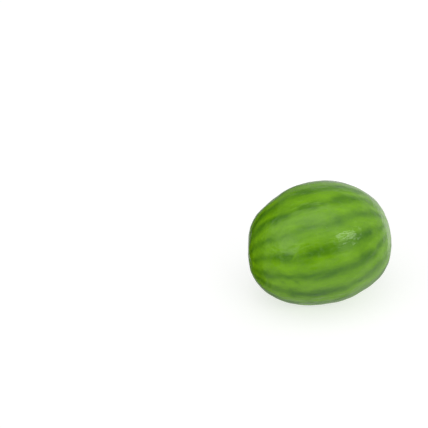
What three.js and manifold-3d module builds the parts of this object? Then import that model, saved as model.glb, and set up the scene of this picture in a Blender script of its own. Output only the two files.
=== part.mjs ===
// A bubble gum ball got up as a tiny watermelon: one solid, a full ovoid of sugar-shelled gum,
// a little uneven from being pressed and rolled while soft. It lies on a small flat foot with its
// long axis in the XZ plane and the +X end raised. Millimetres, +Z up, the origin under the middle
// of the ball on the surface that it lies on.

import * as THREE from "three";
import { mergeVertices } from "three/addons/utils/BufferGeometryUtils.js";
import Module from "manifold-3d";

// Driving dimensions, in millimetres, and angles in degrees.
const LENGTH = 28.4; // along the long axis, from end to end
const GIRTH = 23.4; // across the middle
const FULLNESS = 2.19; // 2 would be a plain ellipsoid; more fills out the shoulders
const LIE_ANGLE = 10.8; // how far the +X end is raised
const FOOT_DEPTH = 0.3; // how much of the ball's underside is flattened
const DETAIL = 17; // cuts along each edge of the icosahedron that the mesh starts from
const MERGE_GAP = 1e-5; // corners closer than this are one

// Where the soft gum was pressed flat (rise below 0) or left swollen (above 0). "along" is the angle
// from the raised end of the long axis, and "around" the angle about that axis, from the front (-Y)
// over the top. "spread" is the mark's own size, as an angle seen from the middle of the ball.
const PRESS_MARKS = [
  { along: 129, around: 126, rise: -0.55, spread: 17 }, // flat on the shoulder of the low end
  { along: 167, around: 126, rise: -0.75, spread: 12 }, // blunted low end
  { along: 92, around: 126, rise: 0.2, spread: 16 }, // crown
  { along: 25, around: 126, rise: -0.1, spread: 14 },
  { along: 37, around: -54, rise: 0.5, spread: 14 }, // swelling under the raised end
  { along: 70, around: -54, rise: 0.35, spread: 16 },
  { along: 115, around: -54, rise: 0.15, spread: 16 },
  { along: 88, around: 22, rise: -0.16, spread: 11 }, // shallow dents in the front
  { along: 60, around: 60, rise: -0.14, spread: 12 },
  { along: 118, around: 52, rise: 0.12, spread: 13 },
  { along: 62, around: 196, rise: -0.28, spread: 17 }, // flats and a swelling at the back
  { along: 122, around: 214, rise: -0.22, spread: 15 },
  { along: 92, around: 176, rise: 0.15, spread: 14 },
  { along: 114, around: -90, rise: -0.3, spread: 15 }, // the underside, where it lay while soft
];

// The gentle waviness of the whole sugar shell: waves of one pitch in evenly spread directions.
const WAVE_COUNT = 16;
const WAVE_PITCH = 9; // radians of wave across one radius of the ball
const WAVE_HEIGHT = 0.05;
const GOLDEN_ANGLE = Math.PI * (3 - Math.sqrt(5));
const WAVE_PHASE = 1.7; // share of a wave's turn that sets its phase

const radians = THREE.MathUtils.degToRad;

// The unit direction at the angles along and around the ball's own long axis, which is X.
function directionAt(along, around) {
  const tilt = radians(along);
  const turn = radians(around);
  return new THREE.Vector3(
    Math.cos(tilt),
    -Math.sin(tilt) * Math.cos(turn),
    Math.sin(tilt) * Math.sin(turn),
  );
}

// The smooth ovoid: a superellipse turned about the long axis.
function ovoidRadius(direction) {
  const endwise = Math.abs(direction.x) / (LENGTH / 2);
  const sideways = Math.hypot(direction.y, direction.z) / (GIRTH / 2);
  return (endwise ** FULLNESS + sideways ** FULLNESS) ** (-1 / FULLNESS);
}

function pressedRise(direction) {
  return PRESS_MARKS.reduce((total, { along, around, rise, spread }) => {
    const away = direction.angleTo(directionAt(along, around)) / radians(spread);
    return total + rise * Math.exp(-0.5 * away ** 2);
  }, 0);
}

const waveDirections = Array.from({ length: WAVE_COUNT }, (_, index) => {
  const height = 1 - (2 * index + 1) / WAVE_COUNT;
  const reach = Math.sqrt(1 - height ** 2);
  const turn = index * GOLDEN_ANGLE;
  return new THREE.Vector3(height, reach * Math.cos(turn), reach * Math.sin(turn));
});

function wavyRise(direction) {
  const total = waveDirections.reduce((sum, wave, index) => {
    const phase = index * GOLDEN_ANGLE * WAVE_PHASE;
    return sum + Math.cos(WAVE_PITCH * direction.dot(wave) + phase);
  }, 0);
  return WAVE_HEIGHT * Math.sqrt(2 / WAVE_COUNT) * total;
}

// A closed geometry with only positions and shared vertices.
function closed(geometry) {
  geometry.deleteAttribute("normal");
  geometry.deleteAttribute("uv");
  return mergeVertices(geometry, MERGE_GAP);
}

// The whole ball about its own centre, turned as it lies.
function ballGeometry() {
  const geometry = closed(new THREE.IcosahedronGeometry(1, DETAIL));
  const position = geometry.getAttribute("position");
  const direction = new THREE.Vector3();
  for (let index = 0; index < position.count; index++) {
    direction.fromBufferAttribute(position, index).normalize();
    const radius = ovoidRadius(direction) + pressedRise(direction) + wavyRise(direction);
    direction.multiplyScalar(radius);
    position.setXYZ(index, direction.x, direction.y, direction.z);
  }
  return geometry.rotateY(-radians(LIE_ANGLE));
}

const wasm = await Module();
wasm.setup();

function solidOf(geometry) {
  return new wasm.Manifold(
    new wasm.Mesh({
      numProp: 3,
      vertProperties: Float32Array.from(geometry.getAttribute("position").array),
      triVerts: Uint32Array.from(geometry.index.array),
    }),
  );
}

function geometryOf(solid) {
  const { vertProperties, triVerts } = solid.getMesh();
  const geometry = new THREE.BufferGeometry();
  geometry.setAttribute("position", new THREE.BufferAttribute(vertProperties, 3));
  geometry.setIndex(new THREE.BufferAttribute(triVerts, 1));
  return geometry;
}

// Cuts the foot off level and sets the ball down on it, with the middle of its outline at X = Y = 0.
function setDown(ball) {
  ball.computeBoundingBox();
  const footLevel = ball.boundingBox.min.z + FOOT_DEPTH;
  const below = new THREE.BoxGeometry(2 * LENGTH, 2 * LENGTH, LENGTH);
  below.translate(0, 0, footLevel - LENGTH / 2);
  const footed = geometryOf(solidOf(ball).subtract(solidOf(closed(below))));
  footed.computeBoundingBox();
  const middle = footed.boundingBox.getCenter(new THREE.Vector3());
  footed.translate(-middle.x, -middle.y, -footLevel);
  footed.computeVertexNormals();
  return footed;
}

const sugarShell = new THREE.MeshStandardMaterial({
  name: "sugar_shell",
  color: 0x69a02c,
  roughness: 0.3,
  metalness: 0,
});

const gumBall = new THREE.Mesh(setDown(ballGeometry()), sugarShell);
gumBall.name = "gum_ball";

const bubbleGum = new THREE.Group();
bubbleGum.add(gumBall);

export default bubbleGum;
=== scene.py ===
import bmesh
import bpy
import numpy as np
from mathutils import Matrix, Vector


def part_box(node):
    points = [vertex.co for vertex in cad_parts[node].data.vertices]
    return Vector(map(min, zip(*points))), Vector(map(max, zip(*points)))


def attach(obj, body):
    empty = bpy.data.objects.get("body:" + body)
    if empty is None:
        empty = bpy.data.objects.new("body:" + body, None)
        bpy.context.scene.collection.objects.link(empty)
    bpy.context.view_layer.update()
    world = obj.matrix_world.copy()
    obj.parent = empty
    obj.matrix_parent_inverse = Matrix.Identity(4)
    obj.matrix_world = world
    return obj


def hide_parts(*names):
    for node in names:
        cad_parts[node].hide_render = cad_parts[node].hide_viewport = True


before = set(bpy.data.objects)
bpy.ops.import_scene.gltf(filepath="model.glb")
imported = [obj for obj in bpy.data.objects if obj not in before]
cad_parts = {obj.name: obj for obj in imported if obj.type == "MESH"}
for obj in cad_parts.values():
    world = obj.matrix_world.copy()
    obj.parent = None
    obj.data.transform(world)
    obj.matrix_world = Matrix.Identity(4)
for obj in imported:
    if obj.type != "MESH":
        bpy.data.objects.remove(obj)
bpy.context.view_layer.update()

# The looks of a bubble gum ball that is striped like a watermelon: its waxed sugar shell with the
# small relief of the real one, the soft-edged stripes, and a plain studio round it.
# Lengths are millimetres until they reach Blender, which has metres but for its lens and sensor,
# and angles are degrees.

NODE = "gum_ball"
MM = 0.001

# ---- The ball's form, from the same named sizes as its solid ----

LENGTH = 28.4  # along the long axis, from end to end
GIRTH = 23.4  # across the middle
FULLNESS = 2.19  # 2 would be a plain ellipsoid; more fills out the shoulders
LIE_ANGLE = 10.8  # how far the +X end is raised
FOOT_DEPTH = 0.3  # how much of the ball's underside is flattened
FOOT_ROUNDING = 0.06  # how softly the foot turns into the side
GRID_CUTS = 118  # the ball is a cube's grid blown up to a ball, with this many cuts a side

# Where the soft gum was pressed flat or left swollen. Each mark has the angle along from the raised
# end, the angle around from the front over the top, its rise, and its spread as an angle.
PRESS_MARKS = [
    (129, 126, -0.55, 17),
    (167, 126, -0.75, 12),
    (92, 126, 0.2, 16),
    (25, 126, -0.1, 14),
    (37, -54, 0.5, 14),
    (70, -54, 0.35, 16),
    (115, -54, 0.15, 16),
    (88, 22, -0.16, 11),
    (60, 60, -0.14, 12),
    (118, 52, 0.12, 13),
    (62, 196, -0.28, 17),
    (122, 214, -0.22, 15),
    (92, 176, 0.15, 14),
    (114, -90, -0.3, 15),
]

GOLDEN_ANGLE = np.pi * (3 - np.sqrt(5))
WAVE_PHASE = 1.7  # share of a wave's turn that sets its phase

# The shell's waviness, coarse to fine: how many waves, their pitch (radians of wave across one
# radius) and height. The first are the solid's own.
SHELL_WAVES = (16, 9, 0.05)
PEBBLE_WAVES = (40, 26, 0.014)
FINE_WAVES = (60, 62, 0.006)
DRAWN_WAVES = (60, 52, 0.011)  # lengthwise, because the shell was rolled
DRAWN_STRETCH = (0.25, 1, 1)


def directions_at(along, around):
    """The unit direction at the angles along and around the long axis, which is X."""
    tilt = np.radians(along)
    turn = np.radians(around)
    return np.array([np.cos(tilt), -np.sin(tilt) * np.cos(turn), np.sin(tilt) * np.sin(turn)])


def ovoid_radius(directions):
    """The smooth ovoid: a superellipse turned about the long axis."""
    endwise = np.abs(directions[:, 0]) / (LENGTH / 2)
    sideways = np.hypot(directions[:, 1], directions[:, 2]) / (GIRTH / 2)
    return (endwise**FULLNESS + sideways**FULLNESS) ** (-1 / FULLNESS)


def pressed_rise(directions):
    total = np.zeros(len(directions))
    for along, around, rise, spread in PRESS_MARKS:
        away = np.degrees(np.arccos(np.clip(directions @ directions_at(along, around), -1, 1)))
        total += rise * np.exp(-0.5 * (away / spread) ** 2)
    return total


def wavy(directions, count, pitch, height):
    """Waves of one pitch in evenly spread directions, added up."""
    index = np.arange(count)
    level = 1 - (2 * index + 1) / count
    reach = np.sqrt(1 - level**2)
    turn = index * GOLDEN_ANGLE
    ways = np.stack([level, reach * np.cos(turn), reach * np.sin(turn)], axis=-1)
    waves = np.cos(pitch * directions @ ways.T + turn * WAVE_PHASE)
    return height * np.sqrt(2 / count) * waves.sum(axis=1)


def as_it_lies(points):
    """Turns points about the ball's centre by the lie angle, which raises the +X end."""
    tilt = np.radians(LIE_ANGLE)
    x, y, z = points.T
    along = x * np.cos(tilt) - z * np.sin(tilt)
    upward = x * np.sin(tilt) + z * np.cos(tilt)
    return np.stack([along, y, upward], axis=-1)


def ball_grid():
    """A cube's grid blown up to a ball: its Blender mesh, and each corner's unit direction."""
    grid = bmesh.new()
    bmesh.ops.create_cube(grid, size=2)
    bmesh.ops.subdivide_edges(grid, edges=grid.edges[:], cuts=GRID_CUTS, use_grid_fill=True)
    mesh = bpy.data.meshes.new("gum_ball_shell")
    grid.to_mesh(mesh)
    grid.free()
    corners = np.zeros(len(mesh.vertices) * 3)
    mesh.vertices.foreach_get("co", corners)
    # The cube reaches from -1 to 1, and the tangent makes its blown-up squares more alike in size.
    evened = np.tan(corners.reshape(-1, 3) * np.pi / 4)
    return mesh, evened / np.linalg.norm(evened, axis=1, keepdims=True)


# ---- The stripes ----

# Each stripe is a faint line from end to end, with darker dashes on it. A dash has: its start and
# end along the axis, as shares of half the length; the angles around at both; depth; half width.
# Ticks are small dashes beside or on the stripes, and streaks are light ones, some across a stripe.
SHOWN_STRIPES = [
    [  # over the top
        (-0.64, -0.34, 91, 90, 0.55, 7.0),
        (-0.36, -0.18, 96, 96, 0.45, 6.0),
        (-0.18, 0.05, 95.5, 93.5, 0.80, 5.6),
        (0.04, 0.66, 96, 95, 0.70, 6.6),
    ],
    [
        (-0.72, -0.52, 75, 71.5, 0.80, 4.6),
        (-0.54, -0.33, 71.5, 70, 0.95, 5.2),
        (-0.34, -0.18, 71.5, 72, 0.50, 4.8),
        (-0.20, 0.06, 73, 72, 0.85, 4.8),
        (0.04, 0.30, 72.5, 74.5, 0.35, 3.6),
        (0.28, 0.62, 75.5, 77, 0.95, 4.8),
        (0.62, 0.76, 77, 78, 0.40, 4.4),
    ],
    [
        (-0.76, -0.60, 53, 50.5, 0.80, 3.0),
        (-0.60, -0.30, 50, 48.5, 0.40, 3.4),
        (-0.30, 0.10, 50.5, 51, 0.50, 5.0),
        (0.08, 0.34, 51, 50.5, 0.60, 5.8),
        (0.24, 0.50, 53, 54, 0.55, 3.8),
        (0.50, 0.78, 56.5, 57.5, 0.60, 4.4),
    ],
    [
        (-0.80, -0.64, 32.5, 32, 0.50, 4.0),
        (-0.66, -0.57, 31.5, 30, 0.90, 3.8),
        (-0.57, -0.38, 27.5, 28, 0.95, 5.0),
        (-0.38, -0.19, 26.5, 27, 0.60, 5.4),
        (-0.21, 0.10, 28, 28, 0.78, 5.4),
        (0.10, 0.46, 27, 28.5, 0.65, 5.4),
        (0.45, 0.71, 31, 33.5, 0.95, 6.8),
        (0.72, 0.86, 36, 36, 0.40, 4.6),
    ],
    [
        (-0.80, -0.58, 7.5, 8, 0.60, 4.0),
        (-0.60, -0.18, 7.5, 5.5, 0.85, 3.2),
        (-0.22, 0.14, 5, 4, 0.95, 5.4),
        (0.13, 0.50, 4.5, 6.5, 0.80, 5.8),
        (0.46, 0.70, 8, 8, 0.95, 6.4),
        (0.70, 0.87, 11, 15, 0.65, 5.0),
    ],
    [
        (-0.84, -0.50, -12.5, -15, 0.55, 6.0),
        (-0.54, -0.06, -17, -19.5, 1.0, 6.8),
        (-0.08, 0.22, -18, -18.5, 0.90, 5.4),
        (0.22, 0.44, -17.5, -16, 0.50, 4.4),
        (0.46, 0.73, -15, -14, 0.65, 5.4),
    ],
]
TICKS = [
    (-0.05, 0.06, 91.5, 91.5, 0.40, 2.4),
    (0.11, 0.17, 73.5, 73, 0.60, 1.5),
    (-0.62, -0.58, 0.5, -1.5, 0.25, 1.8),
    (-0.46, -0.40, 2.5, -0.5, 0.45, 2.6),
    (0.38, 0.44, -16.8, -16.8, 0.50, 1.6),
    (0.44, 0.48, -14.5, -14.5, 0.30, 1.2),
    (0.75, 0.80, 11, 8, 0.40, 1.6),
]
STREAKS = [
    (-0.72, -0.58, 81, 79, 0.9, 2.0),
    (-0.60, -0.44, 79.5, 77, 0.8, 1.4),
    (-0.22, -0.07, 84, 81, 0.9, 1.6),
    (-0.12, 0.04, 81, 81, 0.7, 2.0),
    (0.07, 0.24, 83, 81.5, 0.8, 1.2),
    (0.45, 0.62, 85, 85, 0.9, 2.4),
    (-0.45, -0.28, 57.5, 57.5, 0.9, 2.0),
    (-0.66, -0.58, 61, 61, 0.7, 1.4),
    (0.28, 0.50, 63.5, 64, 0.8, 2.8),
    (-0.35, -0.22, 38.5, 38.5, 0.8, 1.4),
    (-0.44, -0.35, 24, 31.5, 0.7, 1.4),
    (-0.80, -0.58, 19, 19.5, 0.8, 2.6),
    (-0.52, -0.40, 16.5, 14.5, 0.9, 1.6),
    (0.02, 0.07, 16.5, 16.5, 0.8, 1.6),
    (-0.76, -0.67, -3.5, -3.5, 0.9, 2.6),
    (0.32, 0.39, -9, -9, 0.8, 1.8),
]

# For all stripes and dashes:
DASH_STRENGTH = 0.85  # share of the light that the deepest dash takes away
STREAK_STRENGTH = 0.6  # share of the missing light that the strongest streak gives back
DASH_FADE = 0.05  # how far a dash takes to begin and to end, in shares of half the length
FADE_LIMIT = 1 / 3  # of a short dash's own length
LINE_DEPTH = 0.25  # of the faint line along the whole stripe
LINE_WIDTH = 8.0
LINE_END = 0.985  # where the faint line has run out, as a share of half the length
LINE_FADE = 0.12
PALE_DEPTH = 0.14  # of the shell between the stripes
EDGE_SOFTNESS = 2.0  # 2 fades like a bell; more has a flatter middle and steeper edges
EDGE_WAVER = (30, 22, 0.45)  # waves, pitch, and how many degrees they move the edges
NEAR_AXIS = 0.1  # nearer the long axis than this share of a radius, the waver's degrees grow no more

# For the stripes on the sides that the photograph doesn't show, which are drawn by chance:
SEED = 7
HIDDEN_STRIPES = 9
HIDDEN_RANGE = (116, 320)  # angles around of the first and the last
HIDDEN_START = (-0.80, -0.68)  # where the first dash begins
HIDDEN_END = 0.86  # no dash goes on beyond this
LAST_START = 0.6  # and none begins beyond this
DASH_LENGTHS = (0.24, 0.46)
DASH_DRIFT = 1.8  # how far the ends of a dash may be off the stripe's middle
DASH_DEPTHS = (0.5, 1.0)
DASH_WIDTHS = (4.2, 6.4)
DASH_OVERLAPS = (-0.04, 0.06)  # below 0 is a gap

# For the fainter dashes near both ends of the ball, where all stripes run together:
TAIL_REACHES = (0.94, 0.985)  # shares of the way to the end
TAIL_DEPTHS = (0.4, 0.8)
TAIL_WIDTH = 6.0
TAIL_OVERLAP = 0.02


def smooth_step(low, high, values):
    share = np.clip((values - low) / (high - low), 0, 1)
    return share * share * (3 - 2 * share)


def hidden_stripe(around, chance):
    """A stripe for the sides that the photograph doesn't show: one dash after another."""
    dashes = []
    start = chance.uniform(*HIDDEN_START)
    while start < LAST_START:
        end = min(start + chance.uniform(*DASH_LENGTHS), HIDDEN_END)
        start_drift, end_drift = chance.uniform(-DASH_DRIFT, DASH_DRIFT, 2)
        depth = chance.uniform(*DASH_DEPTHS)
        width = chance.uniform(*DASH_WIDTHS)
        dashes.append((start, end, around + start_drift, around + end_drift, depth, width))
        start = end - chance.uniform(*DASH_OVERLAPS)
    return dashes


def with_tails(stripe, low_end, high_end, chance):
    """The stripe with a fainter dash at either end."""
    first_start, _, first_around, *_ = stripe[0]
    _, last_end, _, last_around, *_ = stripe[-1]
    low_reach, high_reach = chance.uniform(*TAIL_REACHES, 2)
    low_depth, high_depth = chance.uniform(*TAIL_DEPTHS, 2)
    low_run = (low_reach * low_end, first_start + TAIL_OVERLAP)
    high_run = (last_end - TAIL_OVERLAP, high_reach * high_end)
    low_tail = (*low_run, first_around, first_around, low_depth, TAIL_WIDTH)
    high_tail = (*high_run, last_around, last_around, high_depth, TAIL_WIDTH)
    return [low_tail, *stripe, high_tail]


def turned_from(around, centre):
    """The signed angle from centre to around, the short way."""
    return (around - centre + 180) % 360 - 180


def fade_across(away, width):
    """1 on a stripe's middle line, fading out to both its sides."""
    return np.exp(-np.abs(away / width) ** EDGE_SOFTNESS)


def dash_depth(share, around, dash):
    start, end, around_start, around_end, depth, width = dash
    run = np.clip((share - start) / (end - start), 0, 1)
    away = turned_from(around, around_start + (around_end - around_start) * run)
    fade = min(DASH_FADE, (end - start) * FADE_LIMIT)
    begun = smooth_step(start - fade, start + fade, share)
    ended = smooth_step(end - fade, end + fade, share)
    return depth * begun * (1 - ended) * fade_across(away, width)


def line_depth(share, around, stripe):
    """The faint line that joins the middles of a stripe's dashes."""
    shares = [(start + end) / 2 for start, end, *_ in stripe]
    middles = [(around_start + around_end) / 2 for _, _, around_start, around_end, *_ in stripe]
    away = turned_from(around, np.interp(share, shares, middles))
    run_out = smooth_step(LINE_END - LINE_FADE, LINE_END, np.abs(share))
    return LINE_DEPTH * fade_across(away, LINE_WIDTH) * (1 - run_out)


def stripe_depth(directions, share):
    """How dark the shell is at each point, from 0 for the palest green to 1 for the darkest."""
    around = np.degrees(np.arctan2(directions[:, 2], -directions[:, 1]))
    across = np.hypot(directions[:, 1], directions[:, 2])
    around += wavy(directions, *EDGE_WAVER) / np.maximum(across, NEAR_AXIS)
    chance = np.random.default_rng(SEED)
    middles = np.linspace(*HIDDEN_RANGE, HIDDEN_STRIPES)
    stripes = SHOWN_STRIPES + [hidden_stripe(middle, chance) for middle in middles]
    stripes = [with_tails(stripe, share.min(), share.max(), chance) for stripe in stripes]
    light = np.ones(len(directions))
    for stripe in stripes:
        light *= 1 - line_depth(share, around, stripe)
        for dash in stripe:
            light *= 1 - DASH_STRENGTH * dash_depth(share, around, dash)
    for tick in TICKS:
        light *= 1 - DASH_STRENGTH * dash_depth(share, around, tick)
    light *= 1 - PALE_DEPTH
    for streak in STREAKS:
        light += (1 - light) * STREAK_STRENGTH * dash_depth(share, around, streak)
    return 1 - light


def gum_ball():
    """The ball as a fine mesh in the CAD node's place, with the stripes' depth as an attribute,
    and the place of its centre."""
    mesh, directions = ball_grid()
    radius = ovoid_radius(directions) + pressed_rise(directions)
    for waves in (SHELL_WAVES, PEBBLE_WAVES, FINE_WAVES):
        radius += wavy(directions, *waves)
    radius += wavy(directions * DRAWN_STRETCH, *DRAWN_WAVES)
    body = directions * radius[:, None]
    points = as_it_lies(body)

    # The underside ends at the foot, with a small round edge.
    foot_level = points[:, 2].min() + FOOT_DEPTH
    above = points[:, 2] - foot_level
    points[:, 2] = (above + np.hypot(above, FOOT_ROUNDING)) / 2

    # The frame's box settles the place and the last hundredths of the size.
    low, high = (np.array(corner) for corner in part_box(NODE))
    least, most = points.min(axis=0), points.max(axis=0)
    placed = low + (points - least) * (high - low) / (most - least)
    mesh.vertices.foreach_set("co", placed.ravel())
    mesh.polygons.foreach_set("use_smooth", np.ones(len(mesh.polygons), dtype=bool))

    depth = mesh.attributes.new("stripe_depth", "FLOAT", "POINT")
    depth.data.foreach_set("value", stripe_depth(directions, body[:, 0] / (LENGTH / 2)))
    mesh.update()

    ball = bpy.data.objects.new("striped_gum_ball", mesh)
    bpy.context.scene.collection.objects.link(ball)
    centre = low - least * (high - low) / (most - least)
    centre[2] = low[2] - foot_level * MM
    return ball, Vector(centre)


# ---- Materials ----

LIGHT_GREEN = (0.243, 0.554, 0.006)
DARK_GREEN = (0.065, 0.216, 0.006)
SHELL_ROUGHNESS = 0.2
SHELL_IOR = 1.5  # about that of sugar and wax

# The finest ripples of the shell: pitch and height.
RIPPLES = [(0.8, 0.09), (0.4, 0.014)]
RIPPLE_STRETCH = (0.5, 1, 1)
RIPPLE_DETAIL = 1.0

# The unevenness of the colour: spots to a millimetre, their stretch (below 1 draws them out
# lengthwise), the noise's detail and roughness, and how far they change the stripes' depth.
MOTTLING = [
    (0.95, (0.3, 1, 1), 3.0, 0.6, 0.7),  # fine flecks
    (0.4, (0.5, 1, 1), 2.0, 0.5, 0.25),  # wide blotches
]

# The sockets of the Mix node that count when it mixes colours.
MIX_SHARE, MIX_FIRST, MIX_SECOND, MIX_RESULT = 0, 6, 7, 2


class Nodes:
    """Short ways to add and join the nodes of a material or a world."""

    def __init__(self, owner):
        owner.use_nodes = True
        self.tree = owner.node_tree

    def add(self, kind, **settings):
        node = self.tree.nodes.new(kind)
        for name, value in settings.items():
            setattr(node, name, value)
        return node

    def join(self, source, target):
        self.tree.links.new(source, target)

    def math(self, operation, first, second):
        """One operation on two values, each either a number or another node's output."""
        node = self.add("ShaderNodeMath", operation=operation)
        for socket, value in zip(node.inputs, (first, second)):
            if isinstance(value, (int, float)):
                socket.default_value = value
            else:
                self.join(value, socket)
        return node.outputs[0]

    def noise(self, vector, scale, detail, roughness=0.5):
        node = self.add("ShaderNodeTexNoise")
        node.inputs["Scale"].default_value = scale
        node.inputs["Detail"].default_value = detail
        node.inputs["Roughness"].default_value = roughness
        self.join(vector, node.inputs["Vector"])
        return node.outputs["Fac"]

    def mapping(self, vector, location=(0, 0, 0), rotation=(0, 0, 0), scale=(1, 1, 1)):
        node = self.add("ShaderNodeMapping", vector_type="POINT")
        node.inputs["Location"].default_value = location
        node.inputs["Rotation"].default_value = rotation
        node.inputs["Scale"].default_value = scale
        self.join(vector, node.inputs["Vector"])
        return node.outputs[0]

    def mix_colours(self, share, first, second):
        node = self.add("ShaderNodeMix", data_type="RGBA")
        self.join(share, node.inputs[MIX_SHARE])
        node.inputs[MIX_FIRST].default_value = (*first, 1)
        node.inputs[MIX_SECOND].default_value = (*second, 1)
        return node.outputs[MIX_RESULT]


def mottled(nodes, depth, place):
    """The stripes' depth made uneven by flecks and blotches."""
    for spots, stretch, detail, roughness, strength in MOTTLING:
        noise = nodes.noise(nodes.mapping(place, scale=stretch), spots, detail, roughness)
        change = nodes.math("MULTIPLY", nodes.math("SUBTRACT", noise, 0.5), strength)
        depth = nodes.math("ADD", depth, change)
    return depth


def rippled_normal(nodes, place):
    normal = None
    for pitch, height in RIPPLES:
        bump = nodes.add("ShaderNodeBump")
        bump.inputs["Strength"].default_value = 1
        bump.inputs["Distance"].default_value = height * MM
        noise = nodes.noise(nodes.mapping(place, scale=RIPPLE_STRETCH), 1 / pitch, RIPPLE_DETAIL)
        nodes.join(noise, bump.inputs["Height"])
        if normal is not None:
            nodes.join(normal, bump.inputs["Normal"])
        normal = bump.outputs["Normal"]
    return normal


def sugar_shell(centre):
    material = bpy.data.materials.new("sugar_shell")
    nodes = Nodes(material)
    # The ball's own millimetres, from its centre, with X along its long axis.
    place = nodes.add("ShaderNodeTexCoord").outputs["Object"]
    from_centre = nodes.mapping(place, location=tuple(-centre / MM), scale=(1 / MM,) * 3)
    own = nodes.mapping(from_centre, rotation=(0, np.radians(LIE_ANGLE), 0))

    stripe = nodes.add("ShaderNodeAttribute", attribute_name="stripe_depth").outputs["Fac"]
    colour = nodes.mix_colours(mottled(nodes, stripe, own), LIGHT_GREEN, DARK_GREEN)
    shader = nodes.tree.nodes["Principled BSDF"]
    nodes.join(colour, shader.inputs["Base Color"])
    nodes.join(rippled_normal(nodes, own), shader.inputs["Normal"])
    shader.inputs["Roughness"].default_value = SHELL_ROUGHNESS
    shader.inputs["IOR"].default_value = SHELL_IOR
    return material


# ---- The studio ----

CAMERA_AZIMUTH = -7.8
CAMERA_ELEVATION = 33.5
LENS = 135.0
SENSOR = 36.0
PICTURE = 428  # pixels a side
PIXEL = 0.194  # at the ball
BALL_PIXEL = (317.5, 242.6)  # where the ball's centre is in the picture
CLIP_START, CLIP_END = 10, 20000  # nothing nearer or further than this shows


def from_angles(azimuth, elevation):
    """The unit direction from the ball towards a place in the studio; azimuth 0 is the front."""
    turn = np.radians(azimuth)
    rise = np.radians(elevation)
    return Vector((np.sin(turn) * np.cos(rise), -np.cos(turn) * np.cos(rise), np.sin(rise)))


def looking(direction):
    """The turn that makes an object's -Z look against direction, with its Y up."""
    back = direction.normalized()
    right = Vector((0, 0, 1)).cross(back).normalized()
    up = back.cross(right)
    return Matrix((right, up, back)).transposed().to_4x4()


def camera(ball_centre):
    turn = looking(from_angles(CAMERA_AZIMUTH, CAMERA_ELEVATION))
    # From here the picture is PICTURE pixels of PIXEL millimetres wide at the ball.
    distance = PIXEL * PICTURE * LENS / SENSOR
    # It stands as far left and up as the ball is right of and below the picture's middle.
    across = (BALL_PIXEL[0] - PICTURE / 2) * PIXEL
    down = (BALL_PIXEL[1] - PICTURE / 2) * PIXEL
    offset = turn @ Vector((-across, down, distance)) * MM
    data = bpy.data.cameras.new("camera")
    data.lens = LENS
    data.sensor_width = SENSOR
    data.clip_start = CLIP_START * MM
    data.clip_end = CLIP_END * MM
    made = bpy.data.objects.new("camera", data)
    made.matrix_world = Matrix.Translation(ball_centre + offset) @ turn
    bpy.context.scene.collection.objects.link(made)
    bpy.context.scene.camera = made


LIGHT_DISTANCE = 700  # from the ball to each soft box

# Each soft box has its name; azimuth and elevation; width and height, as angles seen from the ball;
# brightness; and whether it shows in the gloss, or else only lights the colour under it.
SOFT_BOXES = [
    ("gleam", 33, 37, 34, 12, 3.8, True),
    ("right_fill", 33, 38, 33, 11, 2.4, False),
    ("left_fill", -85, 5, 60, 60, 0.24, False),
    ("low_fill", -20, -55, 60, 60, 0.16, False),
]


def soft_box(name, centre, azimuth, elevation, width, height, brightness, in_gloss):
    """An area light that covers width by height degrees as seen from the ball."""
    direction = from_angles(azimuth, elevation)
    distance = LIGHT_DISTANCE * MM
    data = bpy.data.lights.new(name, "AREA")
    data.shape = "RECTANGLE"
    data.size = 2 * distance * np.tan(np.radians(width / 2))
    data.size_y = 2 * distance * np.tan(np.radians(height / 2))
    # The watts that make it look as bright as a surface with an emission of that strength.
    data.energy = brightness * np.pi * data.size * data.size_y
    light = bpy.data.objects.new(name, data)
    light.matrix_world = Matrix.Translation(centre + direction * distance) @ looking(direction)
    light.visible_camera = False
    light.visible_glossy = in_gloss
    light.visible_diffuse = not in_gloss
    bpy.context.scene.collection.objects.link(light)


# The light tent: its even brightness, and the patches that are lighter or dimmer than that. A patch
# has its azimuth and elevation, how far it is full and where it has faded out, and what it adds.
TENT_BRIGHTNESS = 0.48
TENT_PATCHES = [
    (-6, 14, 8, 15, -0.50),  # the opening that the camera looks in through
    (20, 13, 5, 14, 0.52),  # a small reflector beside it
    (-70, 62, 18, 50, 0.60),  # the wide lamp over the left
    (-46, 28, 9, 30, 0.50),  # its lower end
    (-48, 18, 6, 18, 0.36),
    (-55, 45, 8, 22, -0.42),  # a dimmer part of it
    (-30, 52, 6, 18, -0.24),
    (40, 76, 15, 36, 0.30),  # the pale top
    (-62, -5, 6, 17, -0.48),  # the dim edge of the table under it
    (-34, 4, 5, 15, -0.36),
    (-125, -15, 25, 55, -0.44),  # the dim corner behind the left
    (-152, 38, 12, 34, -0.34),  # the dim top behind
    (140, 50, 10, 28, -0.18),
    (138, 6, 12, 46, 0.26),  # the pale backdrop
    (130, -16, 5, 22, 0.48),  # its brightest part
    (168, -30, 5, 20, 0.40),
    (-172, -4, 8, 24, -0.24),  # its dim left end
    (68, 8, 10, 32, -0.10),  # the dimmer right side
    (100, 32, 10, 30, 0.26),
    (180, -60, 20, 60, -0.18),  # the ball's own shade on the table
    (145, -68, 5, 24, 0.22),
    (25, -42, 16, 48, 0.18),  # the bright table in front
    (95, -30, 15, 45, 0.28),  # and at the right
]


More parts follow.
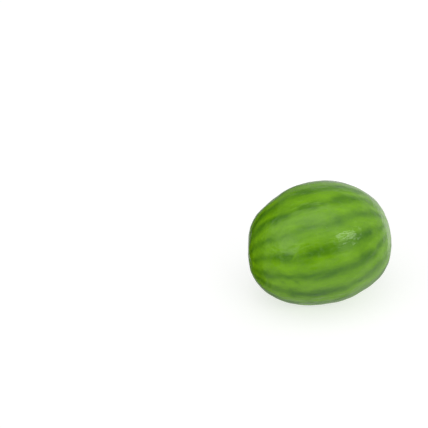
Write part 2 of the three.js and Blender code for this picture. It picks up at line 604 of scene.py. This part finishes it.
def tent():
    """A white light tent all round the ball, below it too."""
    world = bpy.data.worlds.new("tent")
    nodes = Nodes(world)
    way = nodes.add("ShaderNodeTexCoord").outputs["Generated"]
    brightness = TENT_BRIGHTNESS
    for azimuth, elevation, full, gone, added in TENT_PATCHES:
        cosine = nodes.add("ShaderNodeVectorMath", operation="DOT_PRODUCT")
        nodes.join(way, cosine.inputs[0])
        cosine.inputs[1].default_value = from_angles(azimuth, elevation)
        patch = nodes.add("ShaderNodeMapRange", interpolation_type="SMOOTHSTEP")
        nodes.join(cosine.outputs["Value"], patch.inputs["Value"])
        patch.inputs["From Min"].default_value = np.cos(np.radians(gone))
        patch.inputs["From Max"].default_value = np.cos(np.radians(full))
        patch.inputs["To Min"].default_value = 0
        patch.inputs["To Max"].default_value = added
        brightness = nodes.math("ADD", brightness, patch.outputs["Result"])
    never_below = nodes.math("MAXIMUM", brightness, 0)
    background = nodes.tree.nodes["Background"]
    nodes.join(never_below, background.inputs["Strength"])
    background.inputs["Color"].default_value = (1, 1, 1, 1)
    bpy.context.scene.world = world


FLOOR_REACH = 3000  # from its middle to each side
FLOOR_SQUARES = 4  # a side
FLOOR_GREY = 0.5
FLOOR_ROUGHNESS = 0.9
TABLE_GLOW = 0.66  # of the white light table


def floor():
    mesh = bpy.data.meshes.new("floor")
    sheet = bmesh.new()
    squares = {"x_segments": FLOOR_SQUARES, "y_segments": FLOOR_SQUARES}
    bmesh.ops.create_grid(sheet, size=FLOOR_REACH * MM, **squares)
    sheet.to_mesh(mesh)
    sheet.free()
    material = bpy.data.materials.new("floor")
    shader = Nodes(material).tree.nodes["Principled BSDF"]
    shader.inputs["Base Color"].default_value = (FLOOR_GREY, FLOOR_GREY, FLOOR_GREY, 1)
    shader.inputs["Roughness"].default_value = FLOOR_ROUGHNESS
    shader.inputs["Emission Color"].default_value = (1, 1, 1, 1)
    shader.inputs["Emission Strength"].default_value = TABLE_GLOW
    mesh.materials.append(material)
    made = bpy.data.objects.new("floor", mesh)
    # The ball takes its light from below from the tent, so that the floor can be brighter than that.
    made.visible_diffuse = False
    made.visible_glossy = False
    made.visible_shadow = False
    bpy.context.scene.collection.objects.link(made)


ball, ball_centre = gum_ball()
ball.data.materials.append(sugar_shell(ball_centre))
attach(ball, "root")
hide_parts(NODE)

camera(ball_centre)
tent()
for name, *place_and_size, brightness, in_gloss in SOFT_BOXES:
    soft_box(name, ball_centre, *place_and_size, brightness, in_gloss)
floor()
bpy.context.scene.view_settings.view_transform = "Standard"
